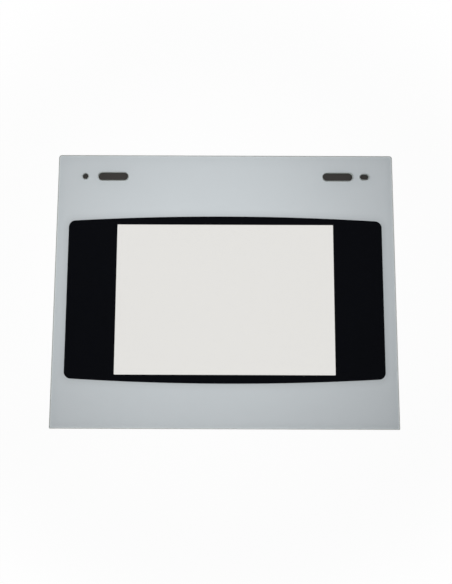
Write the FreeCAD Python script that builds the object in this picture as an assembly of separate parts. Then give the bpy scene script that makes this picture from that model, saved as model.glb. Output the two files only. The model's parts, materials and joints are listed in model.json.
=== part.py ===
import FreeCAD, Part
import math
import os

# Outer pane of an oven door: one sheet of toughened float glass with ground edges, cut
# through near its top edge and printed on its back with fired enamel. Millimetres.
# The pane lies on its back: X runs along its width, Y up the door, Z out of its front face.
# The origin is under the middle of the pane, on the plane that the printed back rests on.

# Sheet
pane_width = 595.0
pane_height = 478.0
glass_thickness = 4.0
top_corner_radius = 5.0
bottom_corner_radius = 1.5
edge_arris = 0.6

# Cut-outs, on one line below the top edge, each from its own side of the pane
cutout_line_below_top = 38.5
screw_hole_from_side = 48.0
screw_hole_diameter = 10.0
screw_slot_from_side = 50.0
screw_slot_length = 15.0
bracket_slot_from_side = 97.5
bracket_slot_length = 53.0
bracket_slot_width = 14.0

# Fired enamel on the back: a white surround, then a black band whose edge laps over it
white_coat = 0.03
black_coat = 0.03
print_gap_from_arris = 0.2
band_lap = 1.5

# Edge between white and black, which shows through the glass: straight sides, bowed top and foot
band_side_margin = 21.0
band_top_margin = 110.5
band_foot_margin = 75.5
band_bow = 8.5
band_corner_radius = 12.0

# Clear window left in the black band
window_side_border = 86.0
window_top_border = 15.0
window_foot_border = 15.0
window_corner_radius = 1.0

half_width = pane_width / 2
half_height = pane_height / 2
coat_back_z = black_coat
glass_back_z = black_coat + white_coat
glass_front_z = glass_back_z + glass_thickness
cutout_line_y = half_height - cutout_line_below_top


def point(x, y, z=0.0):
    return FreeCAD.Vector(x, y, z)


def line(start, end):
    return Part.LineSegment(start, end).toShape()


def arc(start, middle, end):
    return Part.Arc(start, middle, end).toShape()


def closed_face(edges):
    return Part.Face(Part.Wire(edges))


def slab(face, low_z, high_z):
    """The face raised to low_z and given thickness up to high_z."""
    raised = face.copy()
    raised.translate(point(0, 0, low_z))
    return raised.extrude(point(0, 0, high_z - low_z))


def corner_arc(centre, radius, start_deg):
    """A quarter turn about centre, anticlockwise from start_deg."""
    ends = [math.radians(start_deg + turn) for turn in (0, 45, 90)]
    places = [centre + point(radius * math.cos(a), radius * math.sin(a)) for a in ends]
    return arc(*places)


def rounded_rectangle(half_x, low_y, high_y, top_radius, foot_radius):
    """A rectangle about the Y axis, with one radius for its upper and one for its lower corners."""
    corners = [
        corner_arc(point(half_x - top_radius, high_y - top_radius), top_radius, 0),
        corner_arc(point(-half_x + top_radius, high_y - top_radius), top_radius, 90),
        corner_arc(point(-half_x + foot_radius, low_y + foot_radius), foot_radius, 180),
        corner_arc(point(half_x - foot_radius, low_y + foot_radius), foot_radius, 270),
    ]
    edges = []
    for this_corner, next_corner in zip(corners, corners[1:] + corners[:1]):
        edges.append(this_corner)
        edges.append(line(this_corner.Vertexes[-1].Point, next_corner.Vertexes[0].Point))
    return closed_face(edges)


def obround(centre_x, centre_y, length, width):
    """A slot along X with half-round ends."""
    radius = width / 2
    straight = length / 2 - radius
    right_x = centre_x + straight
    left_x = centre_x - straight
    top_y = centre_y + radius
    foot_y = centre_y - radius
    right_end = arc(point(right_x, foot_y), point(right_x + radius, centre_y), point(right_x, top_y))
    left_end = arc(point(left_x, top_y), point(left_x - radius, centre_y), point(left_x, foot_y))
    top_side = line(point(right_x, top_y), point(left_x, top_y))
    foot_side = line(point(left_x, foot_y), point(right_x, foot_y))
    return closed_face([right_end, top_side, left_end, foot_side])


def round_hole(centre_x, centre_y, diameter):
    circle = Part.Circle(point(centre_x, centre_y), point(0, 0, 1), diameter / 2)
    return closed_face([circle.toShape()])


def bowed_outline(grow):
    """The band's outline, moved out by grow: a long arc above and below, tangent to its corners.

    Each long arc bulges by band_bow over the band's full width, and each corner arc touches
    it from inside, so the corner's centre lies one corner radius short of it.
    """
    half_x = half_width - band_side_margin + grow
    base_half_x = half_width - band_side_margin
    bow_radius = (base_half_x**2 + band_bow**2) / (2 * band_bow) + grow
    corner = band_corner_radius + grow
    corner_x = half_x - corner
    corner_rise = math.sqrt((bow_radius - corner) ** 2 - corner_x**2)
    touch = bow_radius / (bow_radius - corner)
    touch_x = corner_x * touch
    drop_at_touch = bow_radius - corner_rise * touch
    drop_at_corner = bow_radius - corner_rise
    bend = math.atan2(corner_rise, corner_x) / 2
    bend_x = corner_x + corner * math.cos(bend)
    bend_drop = drop_at_corner - corner * math.sin(bend)

    edges = []
    foot_y = band_foot_margin - half_height - grow
    top_y = half_height - band_top_margin + grow
    for apex_y, inward in ((top_y, -1), (foot_y, 1)):
        side_y = apex_y + inward * drop_at_corner
        touch_y = apex_y + inward * drop_at_touch
        bend_y = apex_y + inward * bend_drop
        edges.append(arc(point(-touch_x, touch_y), point(0, apex_y), point(touch_x, touch_y)))
        for side in (-1, 1):
            start = point(side * half_x, side_y)
            middle = point(side * bend_x, bend_y)
            edges.append(arc(start, middle, point(side * touch_x, touch_y)))
    top_side_y = top_y - drop_at_corner
    foot_side_y = foot_y + drop_at_corner
    for side in (-1, 1):
        edges.append(line(point(side * half_x, foot_side_y), point(side * half_x, top_side_y)))
    return closed_face(Part.sortEdges(edges)[0])


def cutouts():
    """The four holes through the pane, at their size in the glass."""
    hole_x = screw_hole_from_side - half_width
    slot_x = half_width - screw_slot_from_side
    bracket_x = half_width - bracket_slot_from_side
    return [
        round_hole(hole_x, cutout_line_y, screw_hole_diameter),
        obround(slot_x, cutout_line_y, screw_slot_length, screw_hole_diameter),
        obround(-bracket_x, cutout_line_y, bracket_slot_length, bracket_slot_width),
        obround(bracket_x, cutout_line_y, bracket_slot_length, bracket_slot_width),
    ]


def pane_outline():
    """The cut sheet seen from the front, with its holes."""
    sheet = rounded_rectangle(
        half_width, -half_height, half_height, top_corner_radius, bottom_corner_radius
    )
    return sheet.cut(cutouts()).Faces[0]


def lies_in_plane(edge, z):
    return all(abs(vertex.Z - z) < 1e-6 for vertex in edge.Vertexes)


def glass_sheet():
    """The sheet with its outer edge and every hole's rim ground to a small bevel on both faces."""
    sheet = slab(pane_outline(), glass_back_z, glass_front_z)
    sharp = [e for e in sheet.Edges if lies_in_plane(e, glass_back_z) or lies_in_plane(e, glass_front_z)]
    return sheet.makeChamfer(edge_arris, sharp)


def window_outline():
    """The clear opening in the print."""
    return rounded_rectangle(
        half_width - band_side_margin - window_side_border,
        band_foot_margin + window_foot_border - half_height,
        half_height - band_top_margin - window_top_border,
        window_corner_radius,
        window_corner_radius,
    )


def enamel_print():
    """White and black enamel side by side on the glass, and the black lap on the white's back."""
    inset = edge_arris + print_gap_from_arris
    printed_area = pane_outline().makeOffset2D(-inset).cut(window_outline())
    on_glass = slab(printed_area, coat_back_z, glass_back_z)
    lap_ring = bowed_outline(band_lap).cut(bowed_outline(0))
    lap = slab(lap_ring, 0, coat_back_z)
    return on_glass.fuse(lap)


def door_glass():
    return glass_sheet().fuse(enamel_print()).Solids[0]


os.makedirs("parts", exist_ok=True)
door_glass().exportStep("parts/door_glass.step")
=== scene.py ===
import json
import math

import bmesh
import bpy
from bpy.props import FloatProperty, FloatVectorProperty, PointerProperty
from bpy.types import Operator, Panel, PropertyGroup
from mathutils import Euler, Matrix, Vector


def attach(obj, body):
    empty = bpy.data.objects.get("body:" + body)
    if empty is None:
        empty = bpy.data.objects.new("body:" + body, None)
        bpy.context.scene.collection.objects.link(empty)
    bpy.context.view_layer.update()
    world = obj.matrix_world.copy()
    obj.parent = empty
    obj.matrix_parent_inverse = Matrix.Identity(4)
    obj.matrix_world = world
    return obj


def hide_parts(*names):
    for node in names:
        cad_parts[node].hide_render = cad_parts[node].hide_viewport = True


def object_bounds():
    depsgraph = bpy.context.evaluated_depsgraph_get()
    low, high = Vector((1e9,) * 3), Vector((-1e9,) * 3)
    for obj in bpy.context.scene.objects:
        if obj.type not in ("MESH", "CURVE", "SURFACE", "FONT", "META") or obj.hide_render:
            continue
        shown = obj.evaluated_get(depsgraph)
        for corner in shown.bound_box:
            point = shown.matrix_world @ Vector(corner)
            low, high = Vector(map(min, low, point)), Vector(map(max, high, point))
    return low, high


bl_info = {
    "name": "Oven Door Glass",
    "version": (1, 0, 0),
    "blender": (4, 5, 0),
    "location": "3D View > Sidebar > Door Glass",
    "description": "Builds the printed, toughened outer pane of an oven door",
    "category": "Add Mesh",
}

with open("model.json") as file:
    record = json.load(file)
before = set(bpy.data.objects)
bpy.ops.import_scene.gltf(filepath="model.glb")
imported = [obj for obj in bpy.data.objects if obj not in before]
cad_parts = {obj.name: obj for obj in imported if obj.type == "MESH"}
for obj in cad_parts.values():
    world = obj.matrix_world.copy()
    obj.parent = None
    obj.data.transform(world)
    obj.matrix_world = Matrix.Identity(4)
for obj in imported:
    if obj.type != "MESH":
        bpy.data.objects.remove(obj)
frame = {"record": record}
pane_low, pane_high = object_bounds()
mounts = {mount["name"]: mount for mount in frame["record"]["mounts"]}

mm = 0.001
BODY = "root"
NODE = "door_glass"

# Steps along each kind of round stretch
CORNER_STEPS = 16
HOLE_STEPS = 64
SLOT_END_STEPS = 32
BAND_CORNER_STEPS = 24
BOW_STEPS = 96

# Faces that meet at more than this keep a sharp edge
SHARP_ANGLE = math.radians(30)

# Material slots of the sheet, and of each enamel
CLEAR, GROUND, DRILLED = range(3)
BONDED, OPEN = range(2)

# Colour sockets of a Mix node
MIX_FIRST = 6
MIX_SECOND = 7
MIX_RESULT = 2

NOISE_MIDDLE = 0.5
GLASS_IOR = 1.52
WHITE = (1.0, 1.0, 1.0, 1.0)


# Sizes and colours that a user would change

def length(name, description, default):
    return FloatProperty(
        name=name, description=description, default=default, unit="LENGTH", precision=5
    )


def tint(name, description, default):
    return FloatVectorProperty(
        name=name, description=description, default=default, subtype="COLOR", min=0.0, max=1.0
    )


class SheetSizes(PropertyGroup):
    """The cut sheet and its four cut-outs."""

    width: length("Width", "Across the pane", pane_high.x - pane_low.x)
    height: length("Height", "Up the door", pane_high.y - pane_low.y)
    front: length("Front face", "Height of the front face above the rest plane", pane_high.z)
    top_corner: length("Top corners", "Radius of the upper corners", 5.0 * mm)
    foot_corner: length("Foot corners", "Radius of the lower corners", 1.5 * mm)
    arris: length("Arris", "Width of the bevel ground on every edge", 0.6 * mm)
    cutout_line: length(
        "Cut-out line", "Height of the cut-outs' centres", mounts["bracket_slots"]["pos_m"][1]
    )
    screw_hole_x: length(
        "Round hole", "From the middle to the round hole", mounts["screw_hole_left"]["pos_m"][0]
    )
    screw_slot_x: length(
        "Short slot", "From the middle to the slotted hole", mounts["screw_slot_right"]["pos_m"][0]
    )
    screw_diameter: length(
        "Screw hole",
        "Diameter of the round hole",
        2 * mounts["screw_hole_left"]["dims"]["r_mm"] * mm,
    )
    screw_slot_length: length("Short slot's length", "Length of the slotted screw hole", 15.0 * mm)
    bracket_spacing: length(
        "Slot spacing",
        "Between the long slots' centres",
        mounts["bracket_slots"]["dims"]["spacing_x_mm"] * mm,
    )
    bracket_length: length(
        "Long slots",
        "Length of the long slots",
        mounts["bracket_slots"]["dims"]["slot_length_mm"] * mm,
    )
    bracket_width: length(
        "Long slots' width",
        "Width of the long slots",
        2 * mounts["bracket_slots"]["dims"]["hole_r_mm"] * mm,
    )


class PrintSizes(PropertyGroup):
    """The two enamels fired into the back of the glass."""

    coat: length("Coat", "Thickness of one fired coat", 0.03 * mm)
    bond: length("Bond", "How far a coat has melted into the glass", 0.02 * mm)
    edge_gap: length("Edge gap", "From the arris to the print", 0.2 * mm)
    lap: length("Lap", "How far the black laps behind the white", 1.5 * mm)
    side_margin: length("Side margin", "From the pane's side to the band", 21.0 * mm)
    top_margin: length("Top margin", "From the top edge to the band's crown", 110.5 * mm)
    foot_margin: length("Foot margin", "From the lower edge to the band's crown", 75.5 * mm)
    bow: length("Bow", "Rise of the band's long edges over its width", 8.5 * mm)
    corner: length("Band corners", "Radius of the band's corners", 12.0 * mm)
    window_side: length("Window sides", "Black at each side of the window", 86.0 * mm)
    window_top: length("Window top", "Black above the window, at the crown", 15.0 * mm)
    window_foot: length("Window foot", "Black below the window, at the crown", 15.0 * mm)
    window_corner: length("Window corners", "Radius of the window's corners", 1.0 * mm)


class Finishes(PropertyGroup):
    """Colours of the glass and the two enamels, and the painted shade that darkens the white beside
    the black.
    """

    # The glass colour is darker than clear float glass: its faint own tint, and painted shade for
    # the dimmer floor seen through the window.
    glass: tint("Glass", "Light that the clear glass lets through", (0.82, 0.81, 0.785))
    ground: tint("Ground edge", "The ground outer edge and every arris", (0.45, 0.475, 0.465))
    # Painted shade: the drilled walls are the same ground glass as the edge, coloured darker as they
    # look in the cut-outs.
    shaded_drilled: tint("Drilled walls", "The walls of the four cut-outs", (0.26, 0.31, 0.295))
    white: tint("White enamel", "The surround", (0.705, 0.752, 0.79))
    black: tint("Black enamel", "The band round the window", (0.0022, 0.0025, 0.0037))
    # Painted shade: the white's colour is darkened beside the black band, standing in for light that
    # the black swallows inside the glass.
    painted_dimming: FloatProperty(
        name="Dimming",
        description="Share of its light that the white loses right beside the black",
        default=0.15,
        subtype="FACTOR",
        min=0.0,
        max=1.0,
    )
    dimming_reach: length("Dimming reach", "How far from the black the white is dimmed", 16.0 * mm)


class StudioSettings(PropertyGroup):
    """Floor, lamp, surroundings and camera."""

    floor: tint("Floor", "Colour of the floor", (0.86, 0.86, 0.85))
    # Painted shade: the dark card stands in for the shade seen through the cut-outs.
    card: tint("Card", "Colour of the card under the cut-outs", (0.058, 0.054, 0.051))
    lamp_height: length("Lamp height", "Above the floor", 0.65)
    lamp_x: length("Lamp across", "From the middle of the pane", -0.048)
    lamp_y: length("Lamp up the door", "From the middle of the pane", 0.053)
    lamp_size: length("Lamp size", "Side of the square soft lamp", 0.45)
    lamp_power: FloatProperty(
        name="Lamp power", description="Power of the lamp", default=3.8, unit="POWER"
    )
    camera_x: length("Camera across", "From the middle of the pane", 0.0022)
    camera_y: length("Camera up the door", "From the middle of the pane", -0.0623)
    camera_height: length("Camera height", "Above the front face", 0.6933)
    camera_turn: FloatVectorProperty(
        name="Camera turn",
        description="Turns about X, Y and Z from looking straight down",
        default=tuple(math.radians(turn) for turn in (4.65, 0.02, 0.21)),
        subtype="EULER",
        unit="ROTATION",
    )
    lens: FloatProperty(name="Lens", description="Focal length in mm", default=24.66, unit="CAMERA")


# Outlines, as points in order round the shape

def arc(centre_x, centre_y, radius, start_deg, turn_deg, steps):
    """Points along an arc, both its ends included."""
    angles = [math.radians(start_deg + turn_deg * step / steps) for step in range(steps + 1)]
    return [(centre_x + radius * math.cos(a), centre_y + radius * math.sin(a)) for a in angles]


def rounded_rectangle(half_x, low_y, high_y, top_radius, foot_radius):
    """A rectangle about the Y axis, with one radius for its upper and one for its lower corners."""
    corners = (
        (half_x - top_radius, high_y - top_radius, top_radius, 0),
        (top_radius - half_x, high_y - top_radius, top_radius, 90),
        (foot_radius - half_x, low_y + foot_radius, foot_radius, 180),
        (half_x - foot_radius, low_y + foot_radius, foot_radius, 270),
    )
    return [p for x, y, radius, start in corners for p in arc(x, y, radius, start, 90, CORNER_STEPS)]


def circle(centre_x, centre_y, diameter):
    return arc(centre_x, centre_y, diameter / 2, 0, 360, HOLE_STEPS)[:-1]


def obround(centre_x, centre_y, slot_length, width):
    """A slot along X with half-round ends."""
    radius = width / 2
    reach = slot_length / 2 - radius
    right_end = arc(centre_x + reach, centre_y, radius, -90, 180, SLOT_END_STEPS)
    left_end = arc(centre_x - reach, centre_y, radius, 90, 180, SLOT_END_STEPS)
    return right_end + left_end


def band_reaches(sheet, enamel):
    """Half the band's width, the heights of its two crowns, and the long arcs' radius."""
    half_band = sheet.width / 2 - enamel.side_margin
    crown_y = sheet.height / 2 - enamel.top_margin
    foot_y = enamel.foot_margin - sheet.height / 2
    bow_radius = (half_band**2 + enamel.bow**2) / (2 * enamel.bow)
    return half_band, crown_y, foot_y, bow_radius


def bowed_outline(sheet, enamel, grow=0.0):
    """The band's outline, moved out by grow: long arcs above and below, tangent to its corners.

    Each long arc rises by the bow over the band's width, and a corner's centre lies one corner
    radius short of it, on the line from the long arc's own centre.
    """
    half_band, crown_y, foot_y, bow_radius = band_reaches(sheet, enamel)
    bow_radius += grow
    corner = enamel.corner + grow
    corner_x = half_band + grow - corner
    corner_rise = math.sqrt((bow_radius - corner) ** 2 - corner_x**2)
    touch_deg = math.degrees(math.atan2(corner_rise, corner_x))
    points = []
    for apex_y, up, start_deg in ((crown_y + grow, 1, 0), (foot_y - grow, -1, 180)):
        bow_y = apex_y - up * bow_radius
        corner_y = bow_y + up * corner_rise
        bow_deg = 180 - 2 * touch_deg
        points += arc(up * corner_x, corner_y, corner, start_deg, touch_deg, BAND_CORNER_STEPS)
        points += arc(0, bow_y, bow_radius, start_deg + touch_deg, bow_deg, BOW_STEPS)[1:-1]
        leave_deg = start_deg + 180 - touch_deg
        points += arc(-up * corner_x, corner_y, corner, leave_deg, touch_deg, BAND_CORNER_STEPS)
    return points


def window_outline(sheet, enamel):
    return rounded_rectangle(
        sheet.width / 2 - enamel.side_margin - enamel.window_side,
        enamel.foot_margin + enamel.window_foot - sheet.height / 2,
        sheet.height / 2 - enamel.top_margin - enamel.window_top,
        enamel.window_corner,
        enamel.window_corner,
    )


def sheet_outlines(sheet, ease=0.0):
    """The pane's outline and those of its cut-outs, each drawn back into the glass by ease."""
    outer = rounded_rectangle(
        sheet.width / 2 - ease,
        ease - sheet.height / 2,
        sheet.height / 2 - ease,
        sheet.top_corner - ease,
        sheet.foot_corner - ease,
    )
    line_y = sheet.cutout_line
    bracket_x = sheet.bracket_spacing / 2
    screw_width = sheet.screw_diameter + 2 * ease
    screw_length = sheet.screw_slot_length + 2 * ease
    bracket_width = sheet.bracket_width + 2 * ease
    bracket_length = sheet.bracket_length + 2 * ease
    return [
        outer,
        circle(sheet.screw_hole_x, line_y, screw_width),
        obround(sheet.screw_slot_x, line_y, screw_length, screw_width),
        obround(-bracket_x, line_y, bracket_length, bracket_width),
        obround(bracket_x, line_y, bracket_length, bracket_width),
    ]


def bonded_z(enamel):
    """Height of the enamels' front, just inside the glass that they have melted into."""
    return enamel.coat * 2 + enamel.bond


class FlatSolid:
    """A closed mesh made of level rings of points, walls between them and flat faces."""

    def __init__(self):
        self.mesh = bmesh.new()

    def ring(self, outline, z):
        vertices = [self.mesh.verts.new((x, y, z)) for x, y in outline]
        for start, end in zip(vertices, vertices[1:] + vertices[:1]):
            self.mesh.edges.new((start, end))
        return vertices

    def rings(self, outlines, z):
        return [self.ring(outline, z) for outline in outlines]

    def wall(self, lower, upper, slot):
        """Joins two rings that have a point for each point of the other."""
        for i, vertex in enumerate(lower):
            face = self.mesh.faces.new((lower[i - 1], vertex, upper[i], upper[i - 1]))
            face.material_index = slot

    def walls(self, lower_rings, upper_rings, slot):
        for lower, upper in zip(lower_rings, upper_rings):
            self.wall(lower, upper, slot)

    def flat(self, rings, slot):
        """Fills the area between an outer ring and those inside it."""
        edges = [
            self.mesh.edges.get((start, end))
            for ring in rings
            for start, end in zip(ring, ring[1:] + ring[:1])
        ]
        filled = bmesh.ops.triangle_fill(self.mesh, edges=edges, use_beauty=True)
        faces = [part for part in filled["geom"] if isinstance(part, bmesh.types.BMFace)]
        if not faces:
            raise RuntimeError("The area between the rings could not be filled")
        for face in faces:
            face.material_index = slot

    def piece(self, name, materials, record_slot):
        """Turns the mesh into a piece that rides with the pane's body."""
        bmesh.ops.recalc_face_normals(self.mesh, faces=self.mesh.faces)
        data = bpy.data.meshes.new(name)
        self.mesh.to_mesh(data)
        self.mesh.free()
        data.shade_smooth()
        data.set_sharp_from_angle(angle=SHARP_ANGLE)
        for material in materials:
            data.materials.append(material)
        piece = bpy.data.objects.new(name, data)
        bpy.context.scene.collection.objects.link(piece)
        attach(piece, BODY)
        return piece


# Materials

class Signal:
    """An output socket. Arithmetic on it adds Math nodes, and | takes the larger value."""

    def __init__(self, nodes, socket):
        self.nodes = nodes
        self.socket = socket

    def math(self, operation, *values):
        return self.nodes.add("Math", {"operation": operation}, dict(enumerate(values)))

    def __add__(self, other):
        return self.math("ADD", self, other)

    def __sub__(self, other):
        return self.math("SUBTRACT", self, other)

    def __rsub__(self, other):
        return self.math("SUBTRACT", other, self)

    def __mul__(self, other):
        return self.math("MULTIPLY", self, other)

    def __or__(self, other):
        return self.math("MAXIMUM", self, other)

    def __pow__(self, other):
        return self.math("POWER", self, other)

    def __rpow__(self, other):
        return self.math("POWER", other, self)

    def __abs__(self):
        return self.math("ABSOLUTE", self)

    __radd__ = __add__
    __rmul__ = __mul__
    __ror__ = __or__


class Nodes:
    """The node tree of a material or a world, empty at first."""

    def __init__(self, owner):
        owner.use_nodes = True
        self.tree = owner.node_tree
        self.tree.nodes.clear()

    def add(self, kind, settings=None, inputs=None, output=0):
        """Adds one node: its settings first, then the value or link of each named socket."""
        node = self.tree.nodes.new("ShaderNode" + kind)
        for name, value in (settings or {}).items():
            setattr(node, name, value)
        for name, value in (inputs or {}).items():
            if isinstance(value, Signal):
                self.tree.links.new(value.socket, node.inputs[name])
            else:
                node.inputs[name].default_value = value
        return Signal(self, node.outputs[output]) if node.outputs else None

    def place(self):
        """Where a point of the surface lies, in metres from the pane's origin."""
        return self.add("TexCoord", output="Object")

    def axis(self, place, name):
        """One of a place's coordinates: X, Y or Z."""
        return self.add("SeparateXYZ", inputs={"Vector": place}, output=name)

    def stretched(self, place, scale):
        return self.add("VectorMath", {"operation": "MULTIPLY"}, {0: place, 1: scale})

    def noise(self, place, scale, detail=2.0, roughness=0.5):
        """Even noise about NOISE_MIDDLE, with one lump in each 1/scale metres."""
        inputs = {"Vector": place, "Scale": scale, "Detail": detail, "Roughness": roughness}
        return self.add("TexNoise", inputs=inputs)

    def ray(self, kind):
        return self.add("LightPath", output=f"Is {kind} Ray")

    def eased(self, value, start, end, first, last):
        """Passes smoothly from first to last while the value goes from start to end."""
        return self.add(
            "MapRange",
            {"interpolation_type": "SMOOTHSTEP"},
            {"Value": value, "From Min": start, "From Max": end, "To Min": first, "To Max": last},
        )

    def blend(self, factor, first, second, kind="MIX"):
        """Two colours mixed, or multiplied where the kind is MULTIPLY."""
        settings = {"data_type": "RGBA", "blend_type": kind}
        inputs = {"Factor": factor, MIX_FIRST: first, MIX_SECOND: second}
        return self.add("Mix", settings, inputs, output=MIX_RESULT)

    def shaded(self, colour, shade):
        """A colour made lighter or darker by a value about 1."""
        grey = self.add("CombineColor", inputs={"Red": shade, "Green": shade, "Blue": shade})
        return self.blend(1.0, colour, grey, "MULTIPLY")

    def bump(self, height, distance):
        return self.add("Bump", inputs={"Height": height, "Distance": distance, "Strength": 1.0})

    def mixed(self, factor, first, second):
        return self.add("MixShader", inputs={"Fac": factor, 1: first, 2: second})

    def surface(self, shader):
        self.add("OutputMaterial", inputs={"Surface": shader})


def opaque(colour):
    """A colour with full alpha, as colour sockets take it."""
    return (*colour, 1.0)


def clear_glass(finish):
    """Polished float glass. Lamps light what lies behind it, straight through the sheet."""
    wave_stretch = (1.0, 0.15, 1.0)
    straight_through = opaque((0.96, 0.965, 0.96))
    material = bpy.data.materials.new("clear_float_glass")
    nodes = Nodes(material)
    place = nodes.place()
    roller_wave = nodes.noise(nodes.stretched(place, wave_stretch), scale=9.0, detail=0.0)
    unevenness = 0.995 + nodes.noise(place, scale=4.0, detail=1.0) * 0.01
    # Its colour holds painted shade as well as the glass's own tint: the dimmer floor seen through
    # the window.
    glass = nodes.add(
        "BsdfPrincipled",
        inputs={
            "Base Color": nodes.shaded(opaque(finish.glass), unevenness),
            "Roughness": 0.0,
            "IOR": GLASS_IOR,
            "Transmission Weight": 1.0,
            "Normal": nodes.bump(roller_wave, distance=0.02 * mm),
        },
    )
    passes = nodes.add("BsdfTransparent", inputs={"Color": straight_through})
    nodes.surface(nodes.mixed(nodes.ray("Shadow") | nodes.ray("Diffuse"), glass, passes))
    return material


def ground_glass(name, colour):
    """Glass ground with a fine wheel: matt, faintly green, its marks running along the edge."""
    marks_per_metre = (120.0, 120.0, 9000.0)
    material = bpy.data.materials.new(name)
    nodes = Nodes(material)
    place = nodes.place()
    grinding = nodes.stretched(place, marks_per_metre)
    marks = nodes.noise(grinding, scale=1.0, detail=4.0, roughness=0.65)
    grain = nodes.noise(place, scale=5000.0, detail=3.0)
    frost = nodes.noise(place, scale=90.0)
    worn = 0.82 + marks * 0.16 + frost * 0.2
    relief = marks * 0.7 + grain * 0.3
    ground = nodes.add(
        "BsdfPrincipled",
        inputs={
            "Base Color": nodes.shaded(opaque(colour), worn),
            "Roughness": 0.38 + grain * 0.2 + frost * 0.08,
            "IOR": GLASS_IOR,
            "Normal": nodes.bump(relief, distance=0.02 * mm),
        },
    )
    nodes.surface(ground)
    return material


def past_band(nodes, place, sheet, enamel):
    """How far a place lies outside the band's outline, which is bowed and has round corners."""
    half_band, crown_y, foot_y, bow_radius = band_reaches(sheet, enamel)
    to_bow_centre = bow_radius - (crown_y - foot_y) / 2
    x = nodes.axis(place, "X")
    rise = abs(nodes.axis(place, "Y") - (crown_y + foot_y) / 2) + to_bow_centre
    past_side = (abs(x) - half_band + enamel.corner) | 0.0
    past_bow = ((x * x + rise * rise) ** 0.5 - bow_radius + enamel.corner) | 0.0
    return (past_side * past_side + past_bow * past_bow) ** 0.5 - enamel.corner


def painted_shade_share(sheet, enamel, finish):
    """Painted shade: the share of its colour that the white keeps, all of it but a little less near
    the black.
    """

    def share(nodes, place):
        distance = past_band(nodes, place, sheet, enamel)
        nearness = (1.0 - distance * (1 / finish.dimming_reach)) | 0.0
        return 1.0 - nearness * nearness * finish.painted_dimming

    return share


def bonded_enamel(name, colour, mottle, kept=None):
    """Fired enamel as it shows through the glass, with no gloss where the two are one."""
    coat_mottle = 1.5 * mottle
    material = bpy.data.materials.new(name)
    nodes = Nodes(material)
    place = nodes.place()
    pigment = nodes.noise(place, scale=1400.0, detail=3.0, roughness=0.6)
    coat = nodes.noise(place, scale=7.0)
    shade = 1.0 + (pigment - NOISE_MIDDLE) * mottle + (coat - NOISE_MIDDLE) * coat_mottle
    # Painted shade: the white's colour is darkened near the black band, for light lost to the black
    # inside the glass.
    if kept:
        shade = shade * kept(nodes, place)
    enamel = nodes.add(
        "BsdfPrincipled",
        inputs={
            "Base Color": nodes.shaded(opaque(colour), shade),
            "Roughness": 0.55 + pigment * 0.1,
            "Specular IOR Level": 0.0,
        },
    )
    nodes.surface(enamel)
    return material


def open_enamel(name, colour, mottle):
    """The satin back of the print: a little orange peel, and the screen's fine mesh."""
    material = bpy.data.materials.new(name)
    nodes = Nodes(material)
    place = nodes.place()
    peel = nodes.noise(place, scale=600.0)
    mesh_mark = nodes.add(
        "TexVoronoi", {"feature": "F1", "distance": "CHEBYCHEV"}, {"Vector": place, "Scale": 7500.0}
    )
    patch = nodes.noise(place, scale=11.0, detail=3.0)
    shade = 1.0 + (patch - NOISE_MIDDLE) * mottle
    relief = peel * 0.8 + mesh_mark * 0.2
    enamel = nodes.add(
        "BsdfPrincipled",
        inputs={
            "Base Color": nodes.shaded(opaque(colour), shade),
            "Roughness": 0.3 + peel * 0.12 + patch * 0.1,
            "Specular IOR Level": 0.5,
            "Normal": nodes.bump(relief, distance=0.01 * mm),
        },
    )
    nodes.surface(enamel)
    return material


def pale_floor(studio):
    """A pale matt floor, whitened where it is seen, less so near the pane to keep its shadow."""
    white_share_near = 0.94
    shadow_reach = 0.4
    all_white_from = 0.7
    material = bpy.data.materials.new("pale_floor")
    nodes = Nodes(material)
    place = nodes.place()
    from_middle = nodes.add("VectorMath", {"operation": "LENGTH"}, {0: place}, output="Value")
    white_share = nodes.eased(from_middle, shadow_reach, all_white_from, white_share_near, 1.0)
    grain = nodes.noise(place, scale=220.0, detail=4.0)
    floor = nodes.add(
        "BsdfPrincipled",
        inputs={
            "Base Color": nodes.shaded(opaque(studio.floor), 0.98 + grain * 0.04),
            "Roughness": 0.8,
            "Specular IOR Level": 0.0,
        },
    )
    white = nodes.add("Emission", inputs={"Color": WHITE, "Strength": 1.0})
    seen = nodes.ray("Camera") | nodes.ray("Glossy") | nodes.ray("Transmission")
    nodes.surface(nodes.mixed(seen * white_share, floor, white))
    return material


def dark_card(studio):
    """A dark matt card under the cut-outs: painted shade, standing in for the shade seen through
    them.
    """
    material = bpy.data.materials.new("dark_card")
    nodes = Nodes(material)
    fibre = nodes.noise(nodes.place(), scale=700.0, detail=4.0)
    card = nodes.add(
        "BsdfPrincipled",
        inputs={
            "Base Color": nodes.shaded(opaque(studio.card), 0.7 + fibre * 0.6),
            "Roughness": 0.9,
            "Specular IOR Level": 0.0,
        },
    )
    nodes.surface(card)
    return material


# Pieces

class DOORGLASS_OT_sheet(Operator):
    """Add the toughened sheet with its ground edges and cut-outs"""

    bl_idname = "door_glass.sheet"
    bl_label = "Glass Sheet"

    def execute(self, context):
        sheet = context.scene.door_sheet
        glass_back_z = context.scene.door_print.coat * 2
        solid = FlatSolid()
        back = solid.rings(sheet_outlines(sheet, sheet.arris), glass_back_z)
        low_side = solid.rings(sheet_outlines(sheet), glass_back_z + sheet.arris)
        high_side = solid.rings(sheet_outlines(sheet), sheet.front - sheet.arris)
        front = solid.rings(sheet_outlines(sheet, sheet.arris), sheet.front)
        solid.walls(back, low_side, GROUND)
        solid.walls(high_side, front, GROUND)
        solid.wall(low_side[0], high_side[0], GROUND)
        solid.walls(low_side[1:], high_side[1:], DRILLED)
        solid.flat(back, CLEAR)
        solid.flat(front, CLEAR)
        finish = context.scene.door_finish
        materials = [
            clear_glass(finish),
            ground_glass("ground_glass_edge", finish.ground),
            # Painted shade: the drilled walls take a darker copy of the ground glass.
            ground_glass("drilled_glass_wall", finish.shaded_drilled),
        ]
        pane = solid.piece("glass_pane", materials, "float_glass")
        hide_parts(NODE)
        return {"FINISHED"}


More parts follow.
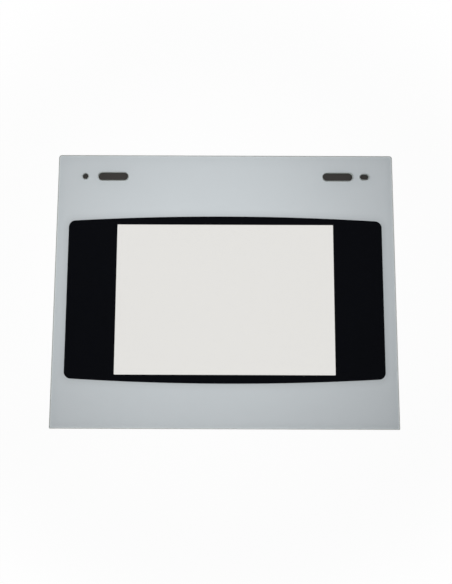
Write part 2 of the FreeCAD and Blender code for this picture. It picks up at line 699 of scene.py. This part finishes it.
class DOORGLASS_OT_white_surround(Operator):
    """Add the white enamel round the black band"""

    bl_idname = "door_glass.white_surround"
    bl_label = "White Surround"

    def execute(self, context):
        sheet = context.scene.door_sheet
        enamel = context.scene.door_print
        outlines = sheet_outlines(sheet, sheet.arris + enamel.edge_gap)
        outlines.append(bowed_outline(sheet, enamel))
        solid = FlatSolid()
        back = solid.rings(outlines, enamel.coat)
        front = solid.rings(outlines, bonded_z(enamel))
        solid.walls(back, front, BONDED)
        solid.flat(front, BONDED)
        solid.flat(back, OPEN)
        finish = context.scene.door_finish
        # Painted shade near the black band, in the white's colour.
        kept = painted_shade_share(sheet, enamel, finish)
        materials = [
            bonded_enamel("white_enamel_bonded", finish.white, mottle=0.02, kept=kept),
            open_enamel("white_enamel_back", finish.white, mottle=0.03),
        ]
        solid.piece("white_surround", materials, "white_enamel")
        return {"FINISHED"}


class DOORGLASS_OT_black_band(Operator):
    """Add the black enamel band round the window, with its lap behind the white"""

    bl_idname = "door_glass.black_band"
    bl_label = "Black Band"

    def execute(self, context):
        sheet = context.scene.door_sheet
        enamel = context.scene.door_print
        front_z = bonded_z(enamel)
        window = window_outline(sheet, enamel)
        solid = FlatSolid()
        band_front = solid.ring(bowed_outline(sheet, enamel), front_z)
        ledge = solid.ring(bowed_outline(sheet, enamel), enamel.coat)
        lap_front = solid.ring(bowed_outline(sheet, enamel, enamel.lap), enamel.coat)
        lap_back = solid.ring(bowed_outline(sheet, enamel, enamel.lap), 0.0)
        step_back = solid.ring(bowed_outline(sheet, enamel, -enamel.coat), 0.0)
        band_back = solid.ring(bowed_outline(sheet, enamel, -enamel.coat), enamel.coat)
        window_front = solid.ring(window, front_z)
        window_back = solid.ring(window, enamel.coat)
        solid.wall(ledge, band_front, BONDED)
        solid.wall(lap_front, ledge, BONDED)
        solid.wall(lap_back, lap_front, OPEN)
        solid.wall(step_back, lap_back, OPEN)
        solid.wall(band_back, step_back, OPEN)
        solid.wall(window_back, window_front, BONDED)
        solid.flat([band_front, window_front], BONDED)
        solid.flat([band_back, window_back], OPEN)
        black = context.scene.door_finish.black
        materials = [
            bonded_enamel("black_enamel_bonded", black, mottle=0.15),
            open_enamel("black_enamel_back", black, mottle=0.2),
        ]
        solid.piece("black_band", materials, "black_enamel")
        return {"FINISHED"}


# Stage

def flat_card(name, low, high, z, material):
    """Adds a level rectangle to the stage, from its low to its high corner."""
    (low_x, low_y), (high_x, high_y) = low, high
    corners = [(low_x, low_y, z), (high_x, low_y, z), (high_x, high_y, z), (low_x, high_y, z)]
    data = bpy.data.meshes.new(name)
    data.from_pydata(corners, [], [(0, 1, 2, 3)])
    data.materials.append(material)
    card = bpy.data.objects.new(name, data)
    bpy.context.scene.collection.objects.link(card)


def light_surroundings(world):
    """Pale towards the horizon and dark overhead, and white where it is seen."""
    pale = opaque((0.82, 0.81, 0.80))
    dark = opaque((0.045, 0.048, 0.058))
    pale_up_to = 0.25
    dark_from = 0.7
    nodes = Nodes(world)
    height = nodes.axis(nodes.add("TexCoord", output="Generated"), "Z")
    paleness = nodes.eased(height, pale_up_to, dark_from, 1.0, 0.0)
    sky = nodes.blend(paleness, dark, pale)
    seen = nodes.ray("Camera") | nodes.ray("Transmission")
    colour = nodes.blend(seen, sky, WHITE)
    light = nodes.add("Background", inputs={"Color": colour, "Strength": 1.0})
    nodes.add("OutputWorld", inputs={"Surface": light})


class DOORGLASS_OT_stage(Operator):
    """Add the floor, the soft lamp, the surroundings and the camera"""

    bl_idname = "door_glass.stage"
    bl_label = "Stage"

    def execute(self, context):
        scene = context.scene
        studio = scene.door_studio
        sheet = scene.door_sheet
        floor_reach = 4.0
        floor_z = -0.1 * mm
        low_corner = (-floor_reach, -floor_reach)
        high_corner = (floor_reach, floor_reach)
        flat_card("floor", low_corner, high_corner, floor_z, pale_floor(studio))

        # Painted shade: dark cards under the cut-outs stand in for the shade seen through them.
        painted_shade_material = dark_card(studio)
        card_z = -0.02 * mm
        card_margin = 10.0 * mm
        inner_x = sheet.bracket_spacing / 2 - sheet.bracket_length / 2 - card_margin
        outer_x = sheet.screw_slot_x + sheet.screw_slot_length / 2 + card_margin
        low_y = sheet.cutout_line - sheet.bracket_width / 2 - card_margin
        high_y = sheet.cutout_line + sheet.bracket_width / 2 + card_margin
        for side, left_x, right_x in (("left", -outer_x, -inner_x), ("right", inner_x, outer_x)):
            name = "cutout_card_" + side
            flat_card(name, (left_x, low_y), (right_x, high_y), card_z, painted_shade_material)

        lamp_data = bpy.data.lights.new("soft_lamp", "AREA")
        lamp_data.shape = "SQUARE"
        lamp_data.size = studio.lamp_size
        lamp_data.energy = studio.lamp_power
        lamp = bpy.data.objects.new("soft_lamp", lamp_data)
        lamp.location = (studio.lamp_x, studio.lamp_y, studio.lamp_height)
        lamp.visible_camera = False
        lamp.visible_glossy = False
        lamp.visible_transmission = False
        scene.collection.objects.link(lamp)

        scene.world = bpy.data.worlds.new("studio")
        light_surroundings(scene.world)
        scene.view_settings.view_transform = "Standard"

        camera_data = bpy.data.cameras.new("camera")
        camera_data.sensor_width = 36.0
        camera_data.lens = studio.lens
        camera_data.clip_start = 0.01
        camera = bpy.data.objects.new("camera", camera_data)
        camera.location = (studio.camera_x, studio.camera_y, sheet.front + studio.camera_height)
        camera.rotation_euler = Euler(studio.camera_turn)
        scene.collection.objects.link(camera)
        scene.camera = camera
        return {"FINISHED"}


class DOORGLASS_PT_sidebar(Panel):
    """Lists the sizes, the finishes and what can be added"""

    bl_idname = "DOORGLASS_PT_sidebar"
    bl_label = "Oven Door Glass"
    bl_space_type = "VIEW_3D"
    bl_region_type = "UI"
    bl_category = "Door Glass"

    def draw(self, context):
        for title, name, _ in groups:
            box = self.layout.box()
            box.label(text=title)
            settings = getattr(context.scene, name)
            for key in settings.__annotations__:
                box.prop(settings, key)
        for operator in operators:
            self.layout.operator(operator.bl_idname)


groups = (
    ("Sheet", "door_sheet", SheetSizes),
    ("Print", "door_print", PrintSizes),
    ("Finishes", "door_finish", Finishes),
    ("Studio", "door_studio", StudioSettings),
)
operators = (
    DOORGLASS_OT_sheet,
    DOORGLASS_OT_white_surround,
    DOORGLASS_OT_black_band,
    DOORGLASS_OT_stage,
)


def register():
    for _, name, group in groups:
        bpy.utils.register_class(group)
        setattr(bpy.types.Scene, name, PointerProperty(type=group))
    for operator in operators:
        bpy.utils.register_class(operator)
    bpy.utils.register_class(DOORGLASS_PT_sidebar)


def unregister():
    bpy.utils.unregister_class(DOORGLASS_PT_sidebar)
    for operator in reversed(operators):
        bpy.utils.unregister_class(operator)
    for _, name, group in reversed(groups):
        delattr(bpy.types.Scene, name)
        bpy.utils.unregister_class(group)


def main():
    register()
    bpy.ops.door_glass.sheet()
    bpy.ops.door_glass.white_surround()
    bpy.ops.door_glass.black_band()
    bpy.ops.door_glass.stage()


if __name__ == "__main__":
    main()
